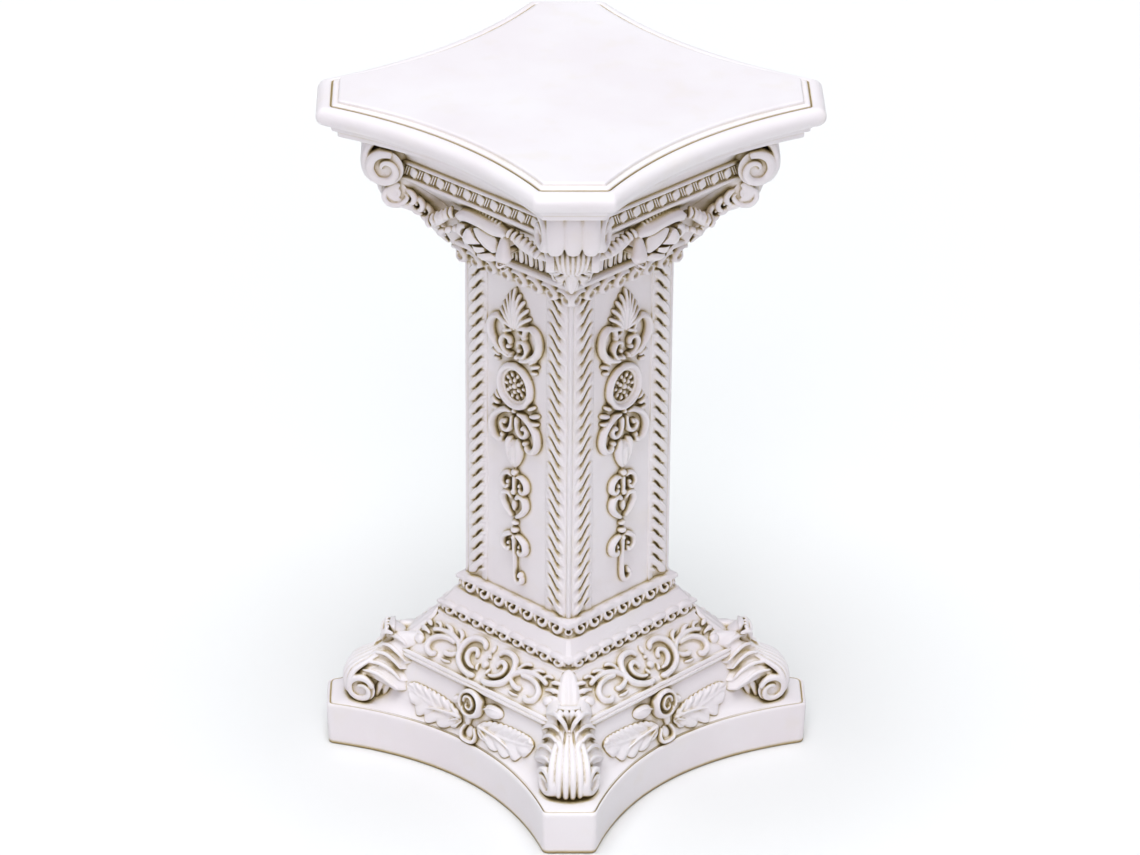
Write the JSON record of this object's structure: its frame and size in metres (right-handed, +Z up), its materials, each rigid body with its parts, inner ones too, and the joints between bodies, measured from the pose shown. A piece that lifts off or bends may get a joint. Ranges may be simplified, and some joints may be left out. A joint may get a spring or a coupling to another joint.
{
  "type": "pedestal column",
  "caption": "Carved pedestal column: a concave-sided slab on scrolled corner consoles, a square relief-panelled shaft and a stepped base with leaf-bracket corners.",
  "frame": {"origin": "centre of the plinth's underside", "axes": "+Z up along the column's axis; the four faces look along -Y, +X, +Y and -X"},
  "size_m": [0.337, 0.337, 0.6],
  "materials": {
    "resin": "white cast resin with an ochre wash in the hollows of the carving"
  },
  "bodies": {
    "root": {"pedestal": "resin"}
  },
  "joints": []
}
